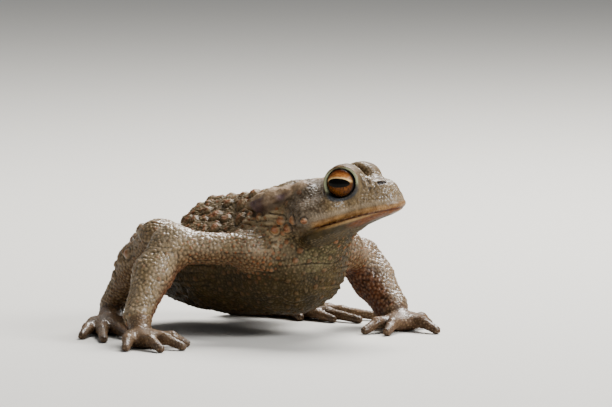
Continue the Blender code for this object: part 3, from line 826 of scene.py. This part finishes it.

# Masks that the skin's colours follow: first hollows and heights, which carry painted shade in the
# hollows and a painted highlight on the crests, then each region
middle = [np.bincount(here, shaped[there, i], len(points)) / neighbours for i in range(3)]
bend = ((np.stack(middle, axis=1) - shaped) * normal).sum(axis=1)
dip = even(move, 12) - move
calm = 1.0 - 0.5 * low_side - 0.4 * back - 0.3 * neck
hollow_shade = np.clip((0.4 * even(bend, 2) / 0.02 + 0.75 * dip / 0.12) * calm, -1.0, 1.0)
tip = ramp(big_hit[1], 0.35, 0.95) * big_hit[2]
tip = np.maximum(tip, ramp(mid_hit[1], 0.0, 0.45) * mid_hit[2]) * (1.0 - 0.85 * on_gland)
is_cheek_wart = big_hit[2] > 0.95
pale = ramp(grain_hit[1], 0.1, 0.7) * grain_hit[2]
pale *= (1.0 - 0.6 * face) * (1.0 - 0.7 * on_gland) * (1.0 - 0.75 * low_side)

ahead_head, over_head = head[:, 0], head[:, 2]
# Painted shade: skin that faces down, the low flanks, the throat and the jaw below the lip are
# marked here to be painted dark.
facing_down = ramp(-normal[:, 2], -0.25, 0.55)
throat = ramp(ahead_head, -16.0, -11.0) * ramp(over_head, -9.2, -11.0) * (1.0 - limb)
under_shade = np.clip(np.maximum(facing_down * (1.0 - 0.5 * face), low_side), 0.0, 1.0)
under_shade = np.maximum(np.maximum(under_shade, face * ramp(up_lip, -0.7, -1.3)), throat)
along_mouth = face * ramp(ahead_head, -10.0, -7.6)
upper_lip = along_mouth * ramp(up_lip, 0.0, 0.25) * ramp(up_lip, 1.9, 0.9)
# A pale band above the upper lip is a painted highlight.
lip_highlight = along_mouth * ramp(up_lip, 1.2, 1.9) * ramp(up_lip, 3.3, 2.2)
lower_lip = along_mouth * ramp(up_lip, -0.1, -0.3) * ramp(up_lip, -1.0, -0.6)
mouth_line = along_mouth * ramp(np.abs(up_lip), 0.35, 0.12)
jaw_at, _, jaw_half, jaw_low, _ = np.array(LOWER).T
across_jaw = np.abs(head[:, 1]) / np.interp(ahead_head, jaw_at, jaw_half)
over_jaw = over_head - np.interp(ahead_head, jaw_at, jaw_low)
jaw_edge = even((kind == "lower_jaw").astype(float), 3)
jaw_edge *= ramp(ahead_head, -3.0, 0.5) * ramp(ahead_head, 11.0, 9.0)
jaw_edge *= ramp(over_jaw, 1.35, 0.8) * ramp(across_jaw, 0.2, 0.5)
cheek = np.maximum(face, ramp(ahead_head, -18.0, -14.0) * (1.0 - limb))
cheek *= ramp(ahead_head, -3.0, -6.5) * ramp(up_lip, -1.0, 2.0)
neck *= 1.0 - on_gland
chest = ramp(apart(on_head(-11.8, -5.2, -14.2)), 6.5, 2.5) * trunk

arms = [np.isin(owner, (f"upper_arm_{s}", f"forearm_{s}")) for s in ("right", "left")]
inward = np.select(arms, [1.0, -1.0], 0.0)
brown_arm = even(arms[1] + 0.55 * np.isin(kind, ("thigh", "shank")), 6)
# Dark red-brown on the side of each arm that faces in toward the body and down: partly the arm's
# own colour, partly painted shade.
ruddy_inner_shade = ramp(normal[:, 1] * inward * 0.95 - 0.3 * normal[:, 2], 0.0, 0.65)
ruddy_inner_shade *= even(np.abs(inward), 6)
pale *= 1.0 - 0.7 * ruddy_inner_shade

gloss = ramp(ahead_head, 2.0, 7.5) * ramp(up_lip, 2.0, 3.5)
gloss = np.maximum(gloss, limb * ramp(normal[:, 2], 0.1, 0.7))
gloss = np.maximum(gloss, 0.7 * digit * ramp(normal[:, 2], 0.0, 0.6))
gloss *= 0.2 + 0.8 * ramp(mist(points, 1.1, 31), 0.4, 0.7)
gloss = np.maximum(gloss, 0.6 * ramp(big_hit[1], 0.5, 0.9) * is_cheek_wart)

lid_rim, lid_top, lower_lid, nostril_shade = np.zeros((4, len(points)))
for side in (-1, 1):
    _, along, rise, radial = about_eye(points, side)
    outer = ramp(along, -0.2, 0.5)
    rim = outer * ramp(radial, 4.4, 4.15) * ramp(rise, -2.4, -0.8) * ramp(rise, 3.9, 2.6)
    lid_rim = np.maximum(lid_rim, rim)
    top = outer * ramp(rise, 0.0, 2.0) * ramp(radial, 4.0, 4.4) * ramp(radial, 5.8, 5.0)
    lid_top = np.maximum(lid_top, top)
    reach = 4.25 + 0.45 * ramp(rise, -1.5, -3.5)
    low = outer * ramp(rise, -0.6, -2.2) * ramp(radial, reach + 0.35, reach - 0.25)
    lower_lid = np.maximum(lower_lid, low)
    # The nostril pit is marked to be painted near black as its shade.
    hole = nostril_gap(points, side)
    nostril_shade = np.maximum(nostril_shade, ramp(hole, 0.3, 0.08))
    gloss *= ramp(hole, 0.3, 1.2)

# The side-facing lower band of each gland is painted dark violet-brown: partly the gland's own
# pigment, partly painted shade.
gland_band_and_shade = np.zeros(len(points))
for side in ("right", "left"):
    a, b, _ = np.array(parotoid_line(side))
    band = ramp(off_gland(points, side), 0.5, 0.1) * ramp(normal[:, 2], 0.55, 0.3)
    gland_band_and_shade = np.maximum(gland_band_and_shade, band * ramp(apart(b + 0.2 * (a - b)), 9.6, 7.0))
digit_tip = np.zeros(len(points))
for limb_side in list(ARM.values()) + list(LEG.values()):
    for tip_at in limb_side["tips"]:
        digit_tip = np.maximum(digit_tip, ramp(apart((*tip_at, 0.9)), 3.2, 0.9))

MASKS = dict(
    hollow_shade=hollow_shade,
    wart_tip=tip,
    cheek_wart=ramp(big_hit[1], 0.05, 0.5) * is_cheek_wart,
    grain=pale,
    under_shade=under_shade,
    upper_lip=upper_lip,
    lip_highlight=lip_highlight,
    lower_lip=lower_lip,
    mouth_line=mouth_line,
    jaw_edge=jaw_edge,
    lid_rim=lid_rim,
    lid_top=lid_top,
    lower_lid=lower_lid,
    nostril_shade=nostril_shade,
    gland_band_and_shade=gland_band_and_shade,
    digit=digit,
    digit_tip=digit_tip,
    limb=limb,
    face=face,
    cheek=cheek,
    chest=chest,
    neck=neck,
    brown_arm=brown_arm,
    ruddy_inner_shade=ruddy_inner_shade,
    gloss=gloss,
    gland_groove_shadow=gland_groove_shadow,
    on_gland=on_gland,
    back=back,
)


def in_frame(place):
    """A place on the toad, in metres from the middle of the frame."""
    return (place - (*ORIGIN, 0.0)) * MM


skin.data.vertices.foreach_set("co", in_frame(shaped).ravel())
skin.data.update()
for name, value in MASKS.items():
    layer = skin.data.attributes.new(name, "FLOAT", "POINT")
    layer.data.foreach_set("value", value.astype(np.float32))


class Nodes:
    """Short words for laying out a material's nodes."""

    def __init__(self, tree):
        self.tree = tree

    def add(self, kind, inputs=(), **settings):
        node = self.tree.nodes.new(kind)
        for key, value in settings.items():
            setattr(node, key, value)
        for key, value in dict(inputs).items():
            self.feed(node.inputs[key], value)
        return node

    def feed(self, socket, value):
        if isinstance(value, bpy.types.NodeSocket):
            self.tree.links.new(value, socket)
        else:
            socket.default_value = value

    def math(self, how, a, b=0.0):
        return self.add("ShaderNodeMath", {0: a, 1: b}, operation=how).outputs[0]

    def mask(self, name):
        return self.add("ShaderNodeAttribute", attribute_name=name).outputs["Fac"]

    def noise(self, where, scale, detail=3.0, roughness=0.55, distortion=0.0):
        facts = {"Vector": where, "Scale": scale, "Detail": detail}
        facts.update({"Roughness": roughness, "Distortion": distortion})
        return self.add("ShaderNodeTexNoise", facts).outputs["Fac"]

    def span(self, value, a, b, low=0.0, high=1.0):
        """value from a to b brought to low to high, and held there beyond."""
        facts = {"Value": value, "From Min": a, "From Max": b, "To Min": low, "To Max": high}
        return self.add("ShaderNodeMapRange", facts).outputs["Result"]

    def tint(self, under_shade, over, amount):
        """The colour over laid on the colour under, by amount."""
        node = self.add("ShaderNodeMix", {0: amount, 6: under_shade, 7: over}, data_type="RGBA")
        return node.outputs[2]

    def mixed(self, dark, light, by):
        """A paint that goes from a dark to a light tone with a pattern."""
        return self.tint(tone(*dark), tone(*light), by)


def tone(r, g, b):
    """A colour as a paint card gives it, 0 to 255, in linear light."""
    v = np.array([r, g, b]) / 255.0
    return (*np.where(v > 0.04045, ((v + 0.055) / 1.055) ** 2.4, v / 12.92), 1.0)


# Skin paint: olive and tan mottling, rusty wart tips, dull underside with painted shade, tan lip,
# wet gloss
skin_paint = bpy.data.materials.new("toad_skin")
skin_paint.use_nodes = True
n = Nodes(skin_paint.node_tree)
shader = n.tree.nodes["Principled BSDF"]
where = n.add("ShaderNodeTexCoord").outputs["Object"]
patches = n.span(n.noise(where, 95.0, 4.0), 0.36, 0.66)
cloud = n.span(n.noise(where, 260.0, 4.0, 0.6), 0.35, 0.68)
speck = n.span(n.noise(where, 1500.0, 3.0, 0.6), 0.3, 0.7)
mottle = n.span(n.noise(where, 820.0, 3.0, 0.6), 0.38, 0.66)
colour = n.mixed((82, 68, 38), (128, 108, 70), patches)
colour = n.tint(colour, tone(128, 116, 100), n.math("MULTIPLY", cloud, 0.4))
# Coats of paint, the lowest first: the mask that each follows, how thick it lies, and its colour
COATS = (
    ("back", 0.9, n.mixed((64, 50, 28), (108, 91, 64), cloud)),
    ("face", 0.85, n.mixed((68, 51, 27), (112, 92, 62), mottle)),
    # Painted shade: dark olive over the underside.
    ("under_shade", 1.0, n.mixed((33, 25, 2), (57, 43, 6), cloud)),
    ("chest", 0.6, n.mixed((54, 46, 18), (110, 104, 70), mottle)),
    ("limb", 0.6, n.mixed((112, 94, 68), (146, 128, 104), cloud)),
    ("neck", 0.9, n.mixed((128, 106, 72), (184, 166, 134), cloud)),
    ("brown_arm", 0.7, n.mixed((70, 50, 32), (110, 88, 66), cloud)),
    # Painted shade with the limbs' own orange-brown: dark brown on the undersides of the limbs.
    ("limb", n.math("MULTIPLY", n.mask("under_shade"), 0.8), tone(76, 50, 20)),
    # Partly the arms' own red-brown, partly painted shade on their inward sides.
    ("ruddy_inner_shade", 0.9, n.mixed((58, 26, 8), (96, 48, 20), cloud)),
    ("digit", 0.8, n.mixed((104, 76, 54), (58, 41, 28), cloud)),
    ("digit_tip", 0.6, tone(52, 36, 28)),
    ("grain", n.span(n.mask("limb"), 0.0, 1.0, 0.24, 0.2), tone(172, 144, 102)),
    ("cheek", 0.7, n.mixed((60, 46, 32), (108, 98, 86), mottle)),
    ("on_gland", 0.9, n.mixed((116, 92, 64), (168, 146, 122), cloud)),
    # Partly the gland's violet-brown pigment, partly painted shade on its lower flank.
    ("gland_band_and_shade", 0.9, n.mixed((66, 44, 34), (84, 66, 76), cloud)),
    # Painted shadow: dark brown along the groove under each gland.
    ("gland_groove_shadow", 0.65, tone(44, 30, 18)),
    ("cheek_wart", 0.75, tone(136, 90, 48)),
    ("wart_tip", 0.8, n.mixed((98, 46, 8), (138, 68, 14), patches)),
    # Painted highlight: pale band above the upper lip.
    ("lip_highlight", 0.3, tone(172, 152, 126)),
    ("upper_lip", 0.8, n.mixed((112, 72, 24), (140, 102, 54), mottle)),
    ("lower_lip", 0.75, tone(146, 112, 66)),
    ("jaw_edge", 0.95, n.mixed((74, 34, 0), (104, 54, 0), mottle)),
    ("mouth_line", 0.9, tone(72, 36, 16)),
    ("lid_top", 0.65, tone(96, 64, 34)),
    ("lid_rim", 0.9, tone(170, 176, 140)),
    ("lower_lid", 1.0, tone(42, 46, 50)),
    # Painted shade: the nostril pit near black.
    ("nostril_shade", 1.0, tone(24, 14, 10)),
)
for name, thick, paint in COATS:
    colour = n.tint(colour, paint, n.math("MULTIPLY", n.mask(name), thick))
# Painted shade darkens the hollows and creases between bumps, and a painted highlight pales the
# crests.
colour = n.tint(colour, tone(38, 28, 16), n.span(n.mask("hollow_shade"), 0.05, 0.9, 0.0, 0.65))
colour = n.tint(colour, tone(190, 164, 130), n.span(n.mask("hollow_shade"), 0.0, -0.9, 0.0, 0.12))
colour = n.tint(colour, tone(52, 40, 26), n.span(speck, 0.55, 1.0, 0.0, 0.4))
n.feed(shader.inputs["Base Color"], colour)
wet = n.span(n.noise(where, 420.0, 3.0), 0.3, 0.7, 0.36, 0.58)
dry = n.math("MULTIPLY", n.mask("back"), 0.6)
for name in ("under_shade", "lower_lid", "jaw_edge"):
    dry = n.math("MAXIMUM", dry, n.mask(name))
n.feed(shader.inputs["Roughness"], n.math("ADD", wet, n.math("MULTIPLY", dry, 0.16)))
polish = n.math("MULTIPLY", n.mask("gloss"), 0.78)
shine = n.math("ADD", n.span(dry, 0.0, 0.8, 0.22, 0.02), polish)
n.feed(shader.inputs["Coat Weight"], shine)
shader.inputs["Specular IOR Level"].default_value = 0.18
shader.inputs["Coat Roughness"].default_value = 0.16
shader.inputs["Subsurface Weight"].default_value = 0.06
shader.inputs["Subsurface Radius"].default_value = (1.0, 0.45, 0.25)
shader.inputs["Subsurface Scale"].default_value = 0.0008
pits = n.add("ShaderNodeTexVoronoi", {"Vector": where, "Scale": 2300.0}).outputs["Distance"]
pits = n.math("MULTIPLY", pits, -0.7)
height = n.math("ADD", pits, n.noise(where, 1500.0, 4.0, 0.62))
bump = n.add("ShaderNodeBump", {"Strength": 0.8, "Distance": 0.00016, "Height": height})
n.feed(shader.inputs["Normal"], bump.outputs["Normal"])
skin.data.materials.append(skin_paint)
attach(skin, "root")
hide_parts(*[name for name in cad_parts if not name.startswith("eye")])

# Eyes
# Each eye is a ball set in its socket behind the lids and swollen a little in front. It is painted
# with a copper iris and a level black pupil, under a thin clear coat that takes a small light.
IRIS_R = 3.2
PUPIL_WIDE, PUPIL_UP, PUPIL_DOWN = 2.65, 1.15, 1.0
EYE_SWELL = 0.03


def eye_paint():
    """Copper iris with gold above the level pupil, inside a black ring."""
    paint = bpy.data.materials.new("toad_eye")
    paint.use_nodes = True
    n = Nodes(paint.node_tree)
    shader = n.tree.nodes["Principled BSDF"]
    where = n.add("ShaderNodeTexCoord").outputs["Object"]
    parted = n.add("ShaderNodeSeparateXYZ", {0: where}).outputs
    x, y = (n.math("MULTIPLY", parted[i], 1.0 / MM) for i in (0, 1))
    out = n.math("SQRT", n.math("ADD", n.math("MULTIPLY", x, x), n.math("MULTIPLY", y, y)))
    threads = n.span(n.noise(where, 1900.0, 4.0, 0.65, 1.6), 0.35, 0.68)
    copper = n.mixed((32, 18, 6), (122, 70, 26), threads)
    gold = n.mixed((122, 64, 24), (206, 142, 76), threads)
    rim = n.mixed((46, 20, 8), (126, 62, 24), threads)
    # Toward its top the iris darkens: partly its own dark rim, partly painted shade of the upper
    # lid.
    iris = n.tint(copper, n.tint(gold, rim, n.span(y, 1.5, 2.7)), n.span(y, -0.2, 0.8))
    iris = n.tint(iris, tone(24, 12, 6), n.span(out, 2.2, IRIS_R, 0.0, 0.7))
    wide = n.math("POWER", n.math("DIVIDE", n.math("ABSOLUTE", x), PUPIL_WIDE), 2.2)
    tall_up = n.math("DIVIDE", n.math("MAXIMUM", y, 0.0), PUPIL_UP)
    below = n.math("MAXIMUM", n.math("MULTIPLY", y, -1.0), 0.0)
    tall = n.math("POWER", n.math("ADD", tall_up, n.math("DIVIDE", below, PUPIL_DOWN)), 1.9)
    shape = n.math("ADD", wide, tall)
    line = n.math("MULTIPLY", n.span(shape, 1.9, 1.15), n.span(y, 0.1, 0.7))
    iris = n.tint(iris, tone(250, 214, 150), n.math("MULTIPLY", line, 0.75))
    colour = n.tint(iris, tone(8, 7, 6), n.span(shape, 1.12, 0.98))
    colour = n.tint(colour, tone(14, 12, 12), n.span(out, IRIS_R - 0.12, IRIS_R + 0.06))
    n.feed(shader.inputs["Base Color"], colour)
    shader.inputs["Roughness"].default_value = 0.5
    shader.inputs["Specular IOR Level"].default_value = 0.0
    shader.inputs["Coat Weight"].default_value = 0.15
    shader.inputs["Coat Roughness"].default_value = 0.03
    return paint


def unit(v):
    return v / np.linalg.norm(v)


def placed(across, up, back, at):
    """The matrix of a thing, from its own three axes and its middle."""
    rows = [[across[i], up[i], back[i], at[i]] for i in range(3)]
    return Matrix(rows + [[0.0, 0.0, 0.0, 1.0]])


painted = eye_paint()
for side, word in ((-1, "right"), (1, "left")):
    form_of = bmesh.new()
    bmesh.ops.create_uvsphere(form_of, u_segments=72, v_segments=48, radius=EYE_R * MM)
    for vert in form_of.verts:
        front = max(vert.co.z / (EYE_R * MM), 0.0)
        vert.co *= 1.0 + EYE_SWELL * front**4
    mesh = bpy.data.meshes.new(f"eye_ball_{word}")
    form_of.to_mesh(mesh)
    form_of.free()
    mesh.shade_smooth()
    mesh.materials.append(painted)
    eye = add_thing(f"eye_ball_{word}", mesh)
    outward = side * HEAD_AXES[1]
    level = unit(np.cross((0.0, 0.0, 1.0), outward))
    centre = in_frame(eye_centre(side))
    eye.matrix_world = placed(level, np.cross(outward, level), outward, centre)
    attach(eye, "root")
    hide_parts(f"eye_{word}")

# Floor
# A plain pale studio sheet, level and wide enough to fill the view on every side. It lies a tenth
# of a millimetre under the toad, whose hands and feet rest on it.
FLOOR_TONE = tone(206, 204, 198)
SHEET_HALF, SHEET_DROP = 15.0, 0.0001
sheet_points = np.array([(x, y, 0.0) for x, y in ((-1, -1), (1, -1), (1, 1), (-1, 1))])
sheet_points = sheet_points * SHEET_HALF - (0.0, 0.0, SHEET_DROP)
floor = add_piece("studio_floor", sheet_points, np.array([(0, 1, 2, 3)]))
floor_paint = bpy.data.materials.new("studio_sheet")
floor_paint.use_nodes = True
matt = floor_paint.node_tree.nodes["Principled BSDF"].inputs
matt["Base Color"].default_value = FLOOR_TONE
matt["Roughness"].default_value = 0.85
floor.data.materials.append(floor_paint)

# Light
# A wide soft box above and behind the toad on the side that it faces, a smaller one beside it, a
# broad fill in front and pale room light.
VIEW_TURN, VIEW_RISE = np.radians([50.0, 5.5])
across = np.array([np.cos(VIEW_TURN), np.sin(VIEW_TURN), 0.0])
away = np.array([-np.sin(VIEW_TURN), np.cos(VIEW_TURN), 0.0])


def soft_box(name, at, aim, size, power, warmth=(1.0, 1.0, 1.0)):
    """A square soft lamp at a place, turned to what it is aimed at."""
    lamp = bpy.data.lights.new(name, "AREA")
    lamp.shape, lamp.size, lamp.energy, lamp.color = "SQUARE", size, power, warmth
    back = unit(at - aim)
    side = unit(np.cross((0.0, 0.0, 1.0), back))
    add_thing(name, lamp).matrix_world = placed(side, np.cross(back, side), back, at)


heart = np.array([0.0, 0.0, 0.02])
key_at = heart + 0.2 * across + 0.36 * away + (0, 0, 0.55)
soft_box("key_box", key_at, heart, 0.4, 14.0, (1.0, 0.98, 0.95))
soft_box("side_box", heart + 0.6 * across - 0.3 * away + (0, 0, 0.42), heart, 0.3, 7.0)
soft_box("front_fill", heart + 0.35 * across - 0.8 * away + (0, 0, 0.8), heart, 0.5, 2.2)
room = bpy.data.worlds.new("room")
bpy.context.scene.world = room
room.use_nodes = True
room_light = room.node_tree.nodes["Background"].inputs
room_light["Color"].default_value = (0.93, 0.96, 1.0, 1.0)
room_light["Strength"].default_value = 0.22

# Camera
# A long lens at the height and angle of the photograph. The place between the shoulders, on the
# floor, falls on the picture's column 296 and row 336, and the lens looks at column 306, row 203.5.
PX_PER_MM, DISTANCE = 4.2, 2.5
PICTURE_WIDE, SENSOR_WIDE = 612.0, 36.0
LOOK_RIGHT, LOOK_UP = 306.0 - 296.0, 336.0 - 203.5
back = -away * np.cos(VIEW_RISE) + np.array([0.0, 0.0, np.sin(VIEW_RISE)])
look_at = in_frame(np.zeros(3)) + across * LOOK_RIGHT / PX_PER_MM * MM
look_at = look_at + np.array([0.0, 0.0, LOOK_UP / PX_PER_MM / np.cos(VIEW_RISE) * MM])
lens = bpy.data.cameras.new("camera")
lens.sensor_width = SENSOR_WIDE
lens.lens = SENSOR_WIDE * PX_PER_MM * DISTANCE / MM / PICTURE_WIDE
lens.clip_end = 20.0
camera = add_thing("camera", lens)
camera.matrix_world = placed(across, np.cross(back, across), back, look_at + back * DISTANCE)
bpy.context.scene.camera = camera
